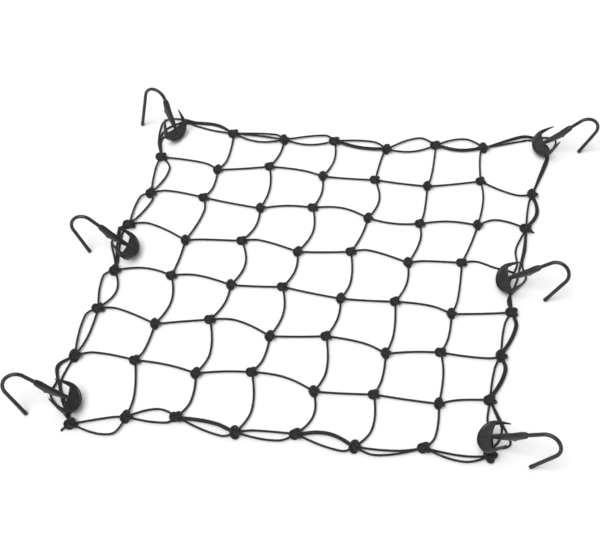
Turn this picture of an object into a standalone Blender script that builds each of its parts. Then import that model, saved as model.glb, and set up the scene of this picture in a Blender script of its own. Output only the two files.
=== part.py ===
"""Elastic cargo net with six hooks, laid out on a surface.

The net is one piece: cord strands fused into raised knots, with a doubled cord round the border.
Six plastic hook bodies hang on the border cord, and each holds a bent wire in its socket.
Sizes are in millimetres and become metres where a mesh is made. X is to the right, Y is away
from the near border and Z is up. The surface is z = 0.
"""

import math
from typing import NamedTuple

import bmesh
import bpy
import numpy as np
from mathutils import Matrix, Vector

MM = 0.001

# ---- net ----
CORD = 2.1
CORD_SIDES = 4
CORD_REST = 1.15  # height of a cord's middle where it lies on the surface
KNOT_WIDTH = 11.6
KNOT_HEIGHT = 6.4
KNOT_LOBES = 6
KNOT_MIDDLE = 2.8  # height where the strands enter a knot
LAYER_LIFT = 0.15  # each layer of cords lies this much higher than the one before
STRAND_START = 2.4  # a strand starts this far from the knot's middle

ROWS = "TABCDEFZ"  # T is the far border and Z the near border
COLUMNS = 8
NET_MIDDLE = np.array((3.6, 7.0))
STEP_RIGHT = np.array((56.1, 3.1))  # from one column to the next
STEP_NEARER = np.array((-3.0, -55.5))  # from one row to the next, with the net's slant
CHECKER_INNER = np.array((-1.5, 3.6))  # knots shift alternately by this much
CHECKER_BORDER = np.array((0.0, 1.2))
NO_KNOT = {"T0", "T7", "C7"}  # a hook takes these places

# Knots that lie off the even grid: to the right, and away.
PULLED = {
    "T1": (2, -7), "T2": (3, -7), "T3": (2, -4), "T4": (4, -7), "T5": (0, 4), "T6": (-4, 9),
    "A0": (-8, 1), "A1": (-1, -5), "A4": (3, -5), "A6": (2, 8),
    "B0": (-2, 4), "B2": (3, 0), "B3": (4, 1), "B4": (4, 1), "B5": (5, -7), "B6": (5, 6), "B7": (0, 3),
    "C0": (-9, 9), "C1": (-4, 0),
    "D0": (-3, 4), "D2": (2, 3), "D5": (0, -4), "D6": (-3, -5),
    "E0": (-2, 7), "E2": (-2, 5), "E5": (0, -6), "E6": (-2, -5), "E7": (-3, 3),
    "F0": (-4, 5), "F1": (-1, 3), "F2": (0, 3), "F3": (-2, 4), "F4": (0, -3), "F5": (2, -6), "F6": (3, -1),
    "F7": (-6, 4),
    "Z0": (19, -16), "Z1": (10, 0), "Z2": (-1, 3), "Z3": (-1, -4), "Z4": (-3, -1), "Z5": (-5, -5),
    "Z7": (2.5, 2),
}

# How far each strand bows from a straight line, and where its peak is as a part of its length.
# Along a row, + bows away, one value for each span from column 0 to column 7.
ROW_BOWS = {
    "A": ((6, 0.7), (0, 0.5), (4, 0.6), (0, 0.5), (0, 0.5), (0, 0.5), (-6, 0.7)),
    "B": ((6, 0.3), (0, 0.5), (4, 0.5), (8, 0.5), (-3, 0.5), (5, 0.5), (10, 0.4)),
    "C": ((9, 0.3), (2, 0.3), (6, 0.3), (0, 0.5), (7, 0.3), (3, 0.3)),
    "D": ((7, 0.5), (6, 0.4), (0, 0.5), (0, 0.5), (0, 0.5), (5, 0.6), (0, 0.5)),
    "E": ((6, 0.3), (1, 0.5), (8, 0.4), (0, 0.5), (5, 0.6), (2, 0.5), (-3, 0.8)),
    "F": ((6, 0.3), (3, 0.5), (2, 0.5), (6, 0.5), (0, 0.5), (0, 0.5), (3, 0.4)),
}
# Down the columns, + bows to the right, one value for each of columns 1 to 6.
COLUMN_BOWS = {
    "TA": ((5, 0.7), (3, 0.5), (6, 0.5), (-2, 0.2), (2, 0.7), (-3, 0.2)),
    "AB": ((4, 0.6), (5, 0.5), (4, 0.5), (8, 0.5), (2, 0.7), (4, 0.4)),
    "BC": ((6, 0.3), (5, 0.5), (8, 0.5), (2, 0.5), (5, 0.4), (1, 0.5)),
    "CD": ((1, 0.5), (9, 0.5), (5, 0.5), (6, 0.6), (5, 0.5), (3, 0.7)),
    "DE": ((8, 0.5), (4, 0.5), (7, 0.5), (4, 0.5), (4, 0.6), (3, 0.6)),
    "EF": ((3, 0.7), (8, 0.6), (4, 0.6), (7, 0.6), (3, 0.6), (3, 0.4)),
    "FZ": ((4, 0.6), (6, 0.6), (9, 0.6), (8, 0.5), (9, 0.6), (6, 0.7)),
}
# The two cords of each border span: first the inner one's bow and peak, then the outer one's.
BORDER_BOWS = {
    ("T1", "T2"): ((-7, 0.5), (7, 0.8)),
    ("T2", "T3"): ((-6, 0.5), (9, 0.8)),
    ("T3", "T4"): ((-4, 0.5), (9, 0.7)),
    ("T4", "T5"): ((-6, 0.5), (14, 0.7)),
    ("T5", "T6"): ((-6, 0.5), (13, 0.6)),
    ("A0", "B0"): ((12, 0.3), (-3, 0.3)),
    ("B0", "C0"): ((6, 0.2), (-8, 0.2)),
    ("D0", "E0"): ((10, 0.5), (-9, 0.2)),
    ("E0", "F0"): ((3, 0.6), (-9, 0.2)),
    ("A7", "B7"): ((-2, 0.3), (9, 0.5)),
    ("D7", "E7"): ((-4, 0.3), (8, 0.3)),
    ("E7", "F7"): ((-3, 0.3), (8, 0.3)),
    ("Z0", "Z1"): ((2, 0.7), (-16, 0.7)),
    ("Z1", "Z2"): ((9, 0.6), (-6, 0.8)),
    ("Z2", "Z3"): ((5, 0.6), (-7, 0.8)),
    ("Z3", "Z4"): ((3, 0.3), (-7, 0.7)),
    ("Z4", "Z5"): ((9, 0.5), (-7, 0.8)),
    ("Z5", "Z6"): ((-3, 0.6), (-8, 0.3)),
    ("Z6", "Z7"): ((-3, 0.6), (-9, 0.6)),
}
# Spans with a third cord: its bow and peak, and how far the whole cord lies to the left.
THIRD_CORDS = {
    ("T1", "T2"): (2, 0.5, 0),
    ("T3", "T4"): (-4, 0.5, 1.6),
    ("T5", "T6"): (-6, 0.5, 1.6),
    ("A7", "B7"): (9, 0.5, -1.6),
    ("D7", "E7"): (8, 0.3, -1.6),
    ("E7", "F7"): (8, 0.3, -1.6),
    ("Z2", "Z3"): (5, 0.6, -1.6),
    ("Z4", "Z5"): (9, 0.5, -1.6),
}

# ---- hooks ----
# Along a hook's own frame X runs from the crown to the wire, Y is sideways and Z is up.
CROWN_LENGTH = 14.0
CROWN_HALF_WIDTH = 16.0
CROWN_TOP = 8.0
CROWN_FOOT = -2.0
CROWN_WALL = 2.2
HORN_ROOT_TOP = 7.6
HORN_ROOT_FOOT = 2.2
HORN_ROOT_WALL = 3.2
HORN_TIP_X = 31.0
HORN_TIP_Y = 11.4
HORN_TIP_TOP = 7.5
HORN_TIP_FOOT = 6.2
HORN_TIP_WALL = 1.2
WEB_THICKNESS = 2.0
WEB_TOP = 6.8
WEB_EDGE_X = 14.0
WIRE = 3.7
WIRE_SIDES = 10
WIRE_Z = 3.8
SOCKET_GAP = 0.35
SOCKET_X = 40.0  # blind end of the socket
WIRE_EXIT_X = 47.0
SINK = 0.25  # depth of the flats that a hook rests on
RIM_STEPS = 10
HORN_STEPS = 3
BEND_STEPS = 10


class ShankSection(NamedTuple):
    """One cross-section of the shank: place along X, width in Y, bottom and top in Z."""

    x: float
    width: float
    bottom: float
    top: float


SHANK = (
    ShankSection(3.5, 1.2, 5.2, 7.2),
    ShankSection(6.0, 1.5, 5.0, 8.1),
    ShankSection(15.0, 3.0, 2.8, 7.8),
    ShankSection(22.0, 4.2, 0.6, 7.5),
    ShankSection(30.0, 5.0, -1.2, 7.2),
    ShankSection(32.4, 4.8, -1.5, 7.1),
    ShankSection(33.2, 4.8, -3.6, 7.1),
    ShankSection(35.5, 5.2, -1.6, 7.0),
    ShankSection(41.0, 6.0, 0.2, 6.9),
    ShankSection(47.0, 5.8, 0.9, 6.7),
)


class Hook(NamedTuple):
    """Where a hook lies, how its wire is bent, and which knots its cords run between."""

    name: str
    x: float  # the crown's place
    y: float
    yaw: float  # degrees from +X to the wire
    lean: float  # degrees that the body is rolled about its shank
    twist: float  # degrees that the wire is turned in its socket
    straight: float  # wire before the bend
    bend: float  # radius of the bend
    turn: float  # degrees of the bend
    leg: float  # wire after the bend
    far_knot: str
    near_knot: str
    lift: float = 0.0  # how high the crown is held by what it lies on


HOOKS = (
    Hook("far_left", -186.5, 170.5, 140, 14, 8, 0.5, 13.4, 152, 42, "T1", "A0"),
    Hook("far_right", 207, 224, 17, 9, -18, 12, 12, 159, 29, "T6", "A7"),
    Hook("mid_left", -183.5, -4, 175.5, 4, 10, 12, 12, 159, 29, "C0", "D0"),
    Hook("mid_right", 183, 25.5, 6.5, 13, -41, 12, 12, 159, 29, "B7", "D7"),
    Hook("near_left", -184.5, -192.5, 182, 2, 25, 12, 12, 159, 29, "F0", "Z0"),
    Hook("near_right", 181.5, -163, -7, 5, -23, 15, 12, 159, 29, "F7", "Z7", 4.5),
)


class CordRun(NamedTuple):
    """Where the three border cords run under a hook, seen from above.

    Each place is given for the cord next to the crown, and each step leads to the next cord.
    """

    hook: str
    far: tuple  # where the cords come in
    far_step: tuple
    slot: tuple  # where they pass the far horn
    slot_step: tuple
    under: tuple  # beneath the shank's near side
    under_step: tuple
    corner: tuple  # where the third cord turns at the near horn's tip
    join: tuple  # where all three meet again
    lead: tuple = ()  # a place before the first, where the cords bow apart
    lead_step: tuple = ()


CORD_RUNS = (
    CordRun(
        "far_left", far=(-171, 194), far_step=(-1, 3), slot=(-180, 196), slot_step=(-1, 3),
        under=(-197, 173), under_step=(-3, 9), corner=(-205, 195), join=(-201, 163),
        lead=(-150, 190), lead_step=(4, 8),
    ),
    CordRun(
        "far_right", far=(189, 236), far_step=(0, 6), slot=(202, 240), slot_step=(1, 3),
        under=(215, 227), under_step=(5, 5), corner=(228, 245), join=(221, 212),
    ),
    CordRun(
        "mid_left", far=(-204, 28), far_step=(-4, 0), slot=(-204, 17), slot_step=(-2, 0),
        under=(-202, 2), under_step=(-3, 1), corner=(-212, 8), join=(-198, -16),
    ),
    CordRun(
        "mid_right", far=(196, 75), far_step=(8, 2), slot=(199, 54), slot_step=(3, 0),
        under=(193, 29), under_step=(7, 2), corner=(209, 37), join=(196, 10),
    ),
    CordRun(
        "near_left", far=(-207, -152), far_step=(-9, 0), slot=(-208, -171), slot_step=(-2, 1),
        under=(-197, -191), under_step=(-3, 1), corner=(-213, -186), join=(-189, -204),
    ),
    CordRun(
        "near_right", far=(186, -138), far_step=(10, 2), slot=(190, -147), slot_step=(10, 3),
        under=(192, -158), under_step=(6, -1), corner=(209, -161), join=(193, -168),
    ),
)
THIRD_BESIDE = 1.6  # how far the third cord lies from the second where they run together
JOIN_STEP = (-1.3, -0.4)  # from one cord to the next where all three meet
# The row C cord that ends on the first cord under the hook at the middle of the right side.
HOOK_END_ROUTE = ((158, 52), (177, 47), (188, 46), (196, 44))


# ---- meshes ----
def solid_of_rings(rings):
    """Closed mesh through rings of equal point count, with both ends filled."""
    rings = [np.asarray(ring, float) for ring in rings]
    count = len(rings[0])
    points = np.vstack(rings)
    around = np.arange(count)
    after = (around + 1) % count
    faces = []
    for k in range(len(rings) - 1):
        low, high = k * count, (k + 1) * count
        faces += [[low + a, low + b, high + b, high + a] for a, b in zip(around, after)]
    faces.append(list(around[::-1]))
    faces.append(list(around + count * (len(rings) - 1)))
    return points, faces


def joined(solids):
    """Several separate solids as one point list and one face list."""
    points, faces, start = [], [], 0
    for solid_points, solid_faces in solids:
        points.append(solid_points)
        faces += [[start + index for index in face] for face in solid_faces]
        start += len(solid_points)
    return np.vstack(points), faces


def tube(path, width, sides):
    """Bar along a path with the area of a round one, and a flat side facing down where it runs level."""
    path = np.asarray(path, float)
    along = np.gradient(path, axis=0)
    along /= np.linalg.norm(along, axis=1)[:, None]
    up = np.array((0.0, 0.0, 1.0))
    aside = np.cross(along, up)
    aside /= np.linalg.norm(aside, axis=1)[:, None]
    over = np.cross(aside, along)
    angle = 2 * np.pi * (np.arange(sides) + 0.5) / sides - np.pi / 2
    radius = width / 2 * math.sqrt(2 * np.pi / (sides * math.sin(2 * np.pi / sides)))
    ring = np.cos(angle)[None, :, None] * aside[:, None, :] + np.sin(angle)[None, :, None] * over[:, None, :]
    return solid_of_rings(path[:, None, :] + radius * ring)


def smooth_path(points, steps):
    """Catmull-Rom curve through the points, with so many steps on each stretch."""
    points = np.asarray(points, float)
    ends = np.vstack([2 * points[0] - points[1], points, 2 * points[-1] - points[-2]])
    curve = [points[0]]
    for k in range(1, len(ends) - 2):
        a, b, c, d = ends[k - 1 : k + 3]
        bend, twist = 2 * a - 5 * b + 4 * c - d, 3 * b - 3 * c + d - a
        for t in np.arange(1, steps + 1) / steps:
            curve.append(b + ((c - a) * t + bend * t**2 + twist * t**3) / 2)
    return np.array(curve)


def mesh_from(name, points, faces):
    """A Blender mesh in metres with its faces pointing out."""
    mesh = bpy.data.meshes.new(name)
    mesh.from_pydata((np.asarray(points) * MM).tolist(), [], faces)
    work = bmesh.new()
    work.from_mesh(mesh)
    bmesh.ops.recalc_face_normals(work, faces=work.faces)
    work.to_mesh(mesh)
    work.free()
    return mesh


def link(name, mesh, material=None):
    """A new object in the scene's collection."""
    made = bpy.data.objects.new(name, mesh)
    bpy.context.scene.collection.objects.link(made)
    if material:
        mesh.materials.clear()
        mesh.materials.append(material)
    return made


def boolean(target, operation, other):
    """Add a Boolean modifier, and keep the other object out of the model."""
    modifier = target.modifiers.new(operation.lower(), "BOOLEAN")
    modifier.operation = operation
    modifier.solver = "EXACT"
    modifier.use_self = operation == "UNION"
    modifier.object = other
    other.hide_render = True
    other.display_type = "WIRE"


def plain_material(name, colour, roughness, metallic):
    """A Principled material."""
    material = bpy.data.materials.new(name)
    material.use_nodes = True
    shader = material.node_tree.nodes["Principled BSDF"]
    shader.inputs["Base Color"].default_value = (*colour, 1.0)
    shader.inputs["Roughness"].default_value = roughness
    shader.inputs["Metallic"].default_value = metallic
    return material


# ---- net ----
def knot_place(name):
    """Middle of a knot from above: an even slanted grid, a checkered shift and a pull."""
    row, column = ROWS.index(name[0]), int(name[1])
    parity = 1 if (row + column) % 2 else -1
    on_border = row in (0, len(ROWS) - 1) or column in (0, COLUMNS - 1)
    checker = CHECKER_BORDER if on_border else CHECKER_INNER
    middle_row, middle_column = (len(ROWS) - 1) / 2, (COLUMNS - 1) / 2
    grid = NET_MIDDLE + STEP_RIGHT * (column - middle_column) + STEP_NEARER * (row - middle_row)
    return grid + parity * checker + np.array(PULLED.get(name, (0, 0)))


def knot_names():
    """All knots, row by row."""
    names = [row + str(column) for row in ROWS for column in range(COLUMNS)]
    return [name for name in names if name not in NO_KNOT]


def knot(name):
    """Raised knot with ridges: a flat foot, a wide middle and a ridged crown."""
    middle = knot_place(name)
    parity = (ROWS.index(name[0]) + int(name[1])) % 2
    radius = KNOT_WIDTH / 2
    angle = 2 * np.pi * np.arange(KNOT_LOBES) / KNOT_LOBES + (np.pi / KNOT_LOBES if parity else 0)
    ridge = np.where(np.arange(KNOT_LOBES) % 2, 1.0, -1.0)
    levels = (
        (0.72, 0.05, 0.0, 0.0),
        (0.98, 0.07, 0.45, 0.04),
        (0.50, 0.08, 0.93, 0.06),
    )
    rings = []
    for reach, reach_ridge, height, height_ridge in levels:
        wide = radius * (reach + reach_ridge * ridge)
        tall = KNOT_HEIGHT * (height + height_ridge * ridge)
        across, away = middle[0] + wide * np.cos(angle), middle[1] + wide * np.sin(angle)
        rings.append(np.stack([across, away, tall], axis=1))
    return solid_of_rings(rings)


def bow_shape(t, peak):
    """Sideways bow along a strand: 0 at both ends and 1 at the peak, with no corner."""
    rising = np.sin(np.pi / 2 * t / peak)
    falling = np.cos(np.pi / 2 * (t - peak) / (1 - peak))
    return np.where(t < peak, rising, falling)


def strand(start, end, bow, peak, lift, aside=0):
    """Cord between two knots: it bows sideways and dips to the surface between them."""
    a, b = knot_place(start), knot_place(end)
    straight = b - a
    length = np.linalg.norm(straight)
    forward = straight / length
    left = np.array((-forward[1], forward[0]))
    a = a + aside * left
    steps = 2 if abs(bow) < 2.5 else (3 if abs(bow) < 7 else 4)
    t = np.linspace(0, 1, steps + 1)
    plan = a + t[:, None] * straight + left * (bow * bow_shape(t, peak))[:, None]
    first = plan[1] - plan[0]
    last = plan[-2] - plan[-1]
    plan[0] += STRAND_START * first / np.linalg.norm(first)
    plan[-1] += STRAND_START * last / np.linalg.norm(last)
    height = CORD_REST + lift + (KNOT_MIDDLE - CORD_REST) * np.abs(2 * t - 1) ** 2
    return tube(np.column_stack([plan, height]), CORD, CORD_SIDES)


def net_strands():
    """The cords in five layers: rows, columns, and the inner, outer and third border cords."""
    rows, columns, inner, outer, third = [], [], [], [], []
    for row, bows in ROW_BOWS.items():
        for column, (bow, peak) in enumerate(bows):
            rows.append(strand(row + str(column), row + str(column + 1), bow, peak, 0))
    for pair, bows in COLUMN_BOWS.items():
        for column, (bow, peak) in enumerate(bows, start=1):
            columns.append(strand(pair[0] + str(column), pair[1] + str(column), bow, peak, LAYER_LIFT))
    for (start, end), (inner_bow, outer_bow) in BORDER_BOWS.items():
        inner.append(strand(start, end, *inner_bow, 2 * LAYER_LIFT))
        outer.append(strand(start, end, *outer_bow, 3 * LAYER_LIFT))
    for (start, end), (bow, peak, aside) in THIRD_CORDS.items():
        third.append(strand(start, end, bow, peak, 4 * LAYER_LIFT, aside))
    return rows, columns, inner, outer, third


def routed_cord(start, places, end, height, steps):
    """Cord through places on the surface, between two knots or from a knot to the last place."""
    first = knot_place(start)
    toward = np.array(places[0]) - first
    middle = KNOT_MIDDLE + height - CORD_REST
    route = [(*(first + STRAND_START * toward / np.linalg.norm(toward)), middle)]
    route += [(*place, height) for place in places]
    if end:
        last = knot_place(end)
        toward = np.array(places[-1]) - last
        route.append((*(last + STRAND_START * toward / np.linalg.norm(toward)), middle))
    return tube(smooth_path(route, steps), CORD, CORD_SIDES)


def beside(place, step, number):
    """Place of one of three cords: the second is a step from the first, and the third lies beside it."""
    step = np.array(step, float)
    return place + min(number, 1) * step + (number == 2) * THIRD_BESIDE * step / np.linalg.norm(step)


def hook_cords(hook):
    """The three border cords that run under one hook."""
    run = next(run for run in CORD_RUNS if run.hook == hook.name)
    cords = []
    for number in range(3):
        places = [
            beside(run.far, run.far_step, number),
            beside(run.slot, run.slot_step, number),
            beside(run.under, run.under_step, number) if number < 2 else run.corner,
            np.add(run.join, np.multiply(number, JOIN_STEP)),
        ]
        if run.lead:
            places.insert(0, beside(run.lead, run.lead_step, number))
        height = CORD_REST + (2 + number) * LAYER_LIFT
        cords.append(routed_cord(hook.far_knot, places, hook.near_knot, height, 2))
    return cords


# ---- hooks ----
def rim():
    """Crown wall with its two horns: a ribbon that is tall at the crown and pointed at the tips."""
    stations = []
    for k in range(RIM_STEPS + 1):
        angle = -np.pi / 2 + np.pi * k / RIM_STEPS
        middle = max(math.cos(angle), 0.0)
        outer = np.array((CROWN_LENGTH * (1 - middle), CROWN_HALF_WIDTH * math.sin(angle)))
        inward = np.array((middle * CROWN_HALF_WIDTH, -math.sin(angle) * CROWN_LENGTH))
        inward /= np.linalg.norm(inward)
        wall = HORN_ROOT_WALL + (CROWN_WALL - HORN_ROOT_WALL) * middle
        top = HORN_ROOT_TOP + (CROWN_TOP - HORN_ROOT_TOP) * middle
        foot = HORN_ROOT_FOOT + (CROWN_FOOT - HORN_ROOT_FOOT) * middle
        stations.append((outer, outer + wall * inward, foot, top))
    for side in (-1, 1):
        horn = []
        for k in range(1, HORN_STEPS + 1):
            t = k / HORN_STEPS
            x = CROWN_LENGTH + (HORN_TIP_X - CROWN_LENGTH) * t
            y = CROWN_HALF_WIDTH - (CROWN_HALF_WIDTH - HORN_TIP_Y) * t**1.5
            wall = HORN_ROOT_WALL + (HORN_TIP_WALL - HORN_ROOT_WALL) * t
            foot = HORN_ROOT_FOOT + (HORN_TIP_FOOT - HORN_ROOT_FOOT) * t
            top = HORN_ROOT_TOP + (HORN_TIP_TOP - HORN_ROOT_TOP) * t
            horn.append((np.array((x, side * y)), np.array((x, side * (y - wall))), foot, top))
        stations = horn[::-1] + stations if side < 0 else stations + horn
    rings = []
    for outer, inner, foot, top in stations:
        lip = 0.3 * (inner - outer)
        edge = 0.35 * min(top - foot, 1.5)
        rings.append([
            (*outer, foot), (*inner, foot), (*inner, top - edge),
            (*(inner - lip), top), (*(outer + lip), top), (*outer, top - edge),
        ])
    return solid_of_rings(rings)


def web():
    """Plate that fills the crown up to a slightly hollow edge."""
    outline = []
    for k in range(RIM_STEPS + 1):
        angle = -np.pi / 2 * 0.86 + np.pi * 0.86 * k / RIM_STEPS
        outline.append((
            CROWN_LENGTH - (CROWN_LENGTH - CROWN_WALL / 2) * math.cos(angle),
            (CROWN_HALF_WIDTH - CROWN_WALL / 2) * math.sin(angle),
        ))
    for k in range(5, -1, -1):
        y = (k / 5 * 2 - 1) * (CROWN_HALF_WIDTH - HORN_ROOT_WALL + SINK)
        outline.append((WEB_EDGE_X + 2.0 * (y / CROWN_HALF_WIDTH) ** 2, y))
    outline = np.array(outline)
    low = np.column_stack([outline, np.full(len(outline), WEB_TOP - WEB_THICKNESS)])
    high = np.column_stack([outline, np.full(len(outline), WEB_TOP)])
    return solid_of_rings([low, high])


def shank():
    """Tapering bar with chamfered corners, from a thin rib on the web to the round end at the wire."""
    rings = []
    for section in SHANK:
        half = section.width / 2
        tall = section.top - section.bottom
        cut = 0.29 * min(section.width, tall)
        rings.append([
            (section.x, -half, section.bottom + cut), (section.x, -half + cut, section.bottom),
            (section.x, half - cut, section.bottom), (section.x, half, section.bottom + cut),
            (section.x, half, section.top - cut), (section.x, half - cut, section.top),
            (section.x, -half + cut, section.top), (section.x, -half, section.top - cut),
        ])
    return solid_of_rings(rings)


def wire_path(hook):
    """Middle line of the wire about the socket's axis: out, round the bend and back to its tip."""
    bend_start = WIRE_EXIT_X + hook.straight
    turn = math.radians(hook.turn)
    path = [np.array((SOCKET_X + SOCKET_GAP, 0.0, 0.0)), np.array((bend_start, 0.0, 0.0))]
    for k in range(1, BEND_STEPS + 1):
        angle = turn * k / BEND_STEPS
        path.append(np.array((
            bend_start + hook.bend * math.sin(angle), 0.0, -hook.bend * (1 - math.cos(angle)),
        )))
    heading = np.array((math.cos(turn), 0.0, -math.sin(turn)))
    path.append(path[-1] + heading * hook.leg)
    return np.array(path)


def wire_bar(hook):
    """The bent wire with a rounded tip, turned in its socket."""
    path = wire_path(hook)
    along = np.gradient(path, axis=0)
    along[0], along[1] = (1, 0, 0), (1, 0, 0)
    along[-2] = along[-1]
    along /= np.linalg.norm(along, axis=1)[:, None]
    aside = np.array((0.0, 1.0, 0.0))
    over = np.cross(along, aside)
    angle = 2 * np.pi * np.arange(WIRE_SIDES) / WIRE_SIDES
    radius = np.full(len(path), WIRE / 2)
    tip = path[-1] + along[-1] * np.array((0.55, 0.9))[:, None]
    path = np.vstack([path, tip])
    along = np.vstack([along, along[-1], along[-1]])
    over = np.vstack([over, over[-1], over[-1]])
    radius = np.append(radius, (WIRE / 2 * 0.85, WIRE / 2 * 0.5))
    ring = np.cos(angle)[None, :, None] * aside + np.sin(angle)[None, :, None] * over[:, None, :]
    points, faces = solid_of_rings(path[:, None, :] + radius[:, None, None] * ring)
    twist = np.array(Matrix.Rotation(math.radians(hook.twist), 3, "X"))
    return points @ twist.T + np.array((0.0, 0.0, WIRE_Z)), faces


def socket_cutter():
    """Round bar that cuts the wire's socket."""
    path = [(SOCKET_X, 0, WIRE_Z), (WIRE_EXIT_X + 5, 0, WIRE_Z)]
    return tube(path, WIRE + 2 * SOCKET_GAP, WIRE_SIDES)


def body_mesh():
    """One hook body in its own frame, as a mesh in millimetres."""
    base = link("body_work", mesh_from("rim", *rim()))
    helpers = [link("web_work", mesh_from("web", *web())), link("shank_work", mesh_from("shank", *shank()))]
    cutter = link("socket_work", mesh_from("socket", *socket_cutter()))
    for helper in helpers:
        boolean(base, "UNION", helper)
    boolean(base, "DIFFERENCE", cutter)
    graph = bpy.context.evaluated_depsgraph_get()
    mesh = bpy.data.meshes.new_from_object(base.evaluated_get(graph))
    for made in [base, cutter, *helpers]:
        bpy.data.objects.remove(made)
    return mesh


def turned(hook, pitch):
    """Rotation of a hook: rolled about its shank, raised at the wire and turned to its yaw."""
    yaw = Matrix.Rotation(math.radians(hook.yaw), 4, "Z")
    raised = Matrix.Rotation(-math.radians(pitch), 4, "Y")
    rolled = Matrix.Rotation(math.radians(hook.lean), 4, "X")
    return yaw @ raised @ rolled


def lowest(points, rotation):
    """Lowest Z of the points after a rotation."""
    matrix = np.array(rotation)[:3, :3]
    return (np.asarray(points) @ matrix.T)[:, 2].min()


def seat(hook, body_points, wire_points):
    """The pose in which the crown and the wire's tip both rest on the surface."""
    low, high = 0.0, 80.0
    for _ in range(40):
        pitch = (low + high) / 2
        rotation = turned(hook, pitch)
        if lowest(wire_points, rotation) < lowest(body_points, rotation) - hook.lift:
            low = pitch
        else:
            high = pitch
    rise = hook.lift - lowest(body_points, rotation) - SINK
    return Matrix.Translation(Vector((hook.x, hook.y, rise))) @ rotation


def cut_flat(mesh):
    """Take off what is below the surface, and fill the cuts."""
    work = bmesh.new()
    work.from_mesh(mesh)
    parts = work.verts[:] + work.edges[:] + work.faces[:]
    cut = bmesh.ops.bisect_plane(work, geom=parts, plane_co=(0, 0, 0), plane_no=(0, 0, 1), clear_inner=True)
    edges = [part for part in cut["geom_cut"] if isinstance(part, bmesh.types.BMEdge)]
    bmesh.ops.edgenet_fill(work, edges=edges)
    bmesh.ops.recalc_face_normals(work, faces=work.faces)
    work.to_mesh(mesh)
    work.free()


def place_mesh(mesh, pose, shift):
    """Move a mesh in metres by a pose whose places are in millimetres, then centre it."""
    pose = pose.copy()
    pose.translation = (pose.translation + Vector((*shift, 0.0))) * MM
    mesh.transform(pose)
    cut_flat(mesh)
    mesh.shade_smooth()
    mesh.set_sharp_from_angle(angle=math.radians(35))


def main():
    for old in list(bpy.data.objects):
        bpy.data.objects.remove(old)
    cord_material = plain_material("elastic_cord", (0.03, 0.03, 0.032), 0.8, 0.0)
    plastic = plain_material("hook_plastic", (0.025, 0.025, 0.027), 0.45, 0.0)
    coated = plain_material("wire_coating", (0.03, 0.03, 0.032), 0.4, 0.0)

    knots = joined([knot(name) for name in knot_names()])
    rows, columns, inner, outer, third = net_strands()
    rows.append(routed_cord("C6", HOOK_END_ROUTE, None, CORD_REST, 1))
    for hook in HOOKS:
        for layer, cord in zip((outer, inner, third), hook_cords(hook)):
            layer.append(cord)
    layers = [joined(layer) for layer in (rows, columns, inner, outer, third)]

    body = body_mesh()
    body_points = np.array([vertex.co for vertex in body.vertices]) / MM
    poses = {}
    ends = [knots[0]]
    for hook in HOOKS:
        wire_points = wire_bar(hook)[0]
        pose = seat(hook, body_points, wire_points)
        poses[hook.name] = pose
        matrix = np.array(pose)
        ends.append(np.vstack([body_points, wire_points]) @ matrix[:3, :3].T + matrix[:3, 3])
    ends = np.vstack(ends + [points for points, _ in layers])
    shift = -(ends.min(axis=0) + ends.max(axis=0))[:2] / 2

    offset = np.array((*shift, 0.0))
    net = link("net", mesh_from("net", knots[0] + offset, knots[1]), cord_material)
    for number, (points, faces) in enumerate(layers):
        helper = link(f"cords_{number}", mesh_from(f"cords_{number}", points + offset, faces))
        boolean(net, "UNION", helper)

    for hook in HOOKS:
        shaped = body.copy()
        place_mesh(shaped, poses[hook.name], shift)
        link(f"hook_body_{hook.name}", shaped, plastic)
        bar = mesh_from("wire", *wire_bar(hook))
        place_mesh(bar, poses[hook.name], shift)
        link(f"hook_wire_{hook.name}", bar, coated)
    bpy.data.meshes.remove(body)


main()
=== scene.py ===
"""Dressed model of an elastic cargo net with six clip-on hooks, laid out on a floor.

The cords, the knots, the hook bodies and the hook wires are finer surfaces that stand for the
frame's solids. Layout and hook shapes are worked out in millimetres, with X to the right, Y away
from the near border and Z up, and become metres where a mesh is made.
"""

import logging
import math
from dataclasses import dataclass, field
from enum import Enum
from typing import NamedTuple

import bmesh
import bpy
import numpy as np
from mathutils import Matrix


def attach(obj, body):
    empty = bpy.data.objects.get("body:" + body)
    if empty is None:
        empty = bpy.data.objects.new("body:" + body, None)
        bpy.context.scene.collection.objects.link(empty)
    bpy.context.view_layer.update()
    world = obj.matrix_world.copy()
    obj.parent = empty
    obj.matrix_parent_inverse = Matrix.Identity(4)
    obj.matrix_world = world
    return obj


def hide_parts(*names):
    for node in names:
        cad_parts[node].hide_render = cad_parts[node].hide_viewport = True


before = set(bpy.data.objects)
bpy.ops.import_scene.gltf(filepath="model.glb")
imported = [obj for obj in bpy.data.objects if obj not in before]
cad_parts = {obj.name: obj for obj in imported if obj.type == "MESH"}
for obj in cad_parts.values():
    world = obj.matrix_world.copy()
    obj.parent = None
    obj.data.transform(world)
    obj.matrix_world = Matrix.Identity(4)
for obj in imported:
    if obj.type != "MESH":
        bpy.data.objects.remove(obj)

log = logging.getLogger("cargo_net")

MM = 0.001
UP = np.array((0.0, 0.0, 1.0))
SIDEWAYS = np.array((0.0, 1.0, 0.0))
SHIFT = np.array((-10.281, -14.397, 0.0))  # from the net's own layout to the part's frame
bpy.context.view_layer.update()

Place = tuple[float, float]
Colour = tuple[float, float, float]
Station = tuple[Place, Place]  # a place, and the step from it to the next cord
Bow = tuple[float, float]  # greatest sideways distance, and the part of the length where it is reached


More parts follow.
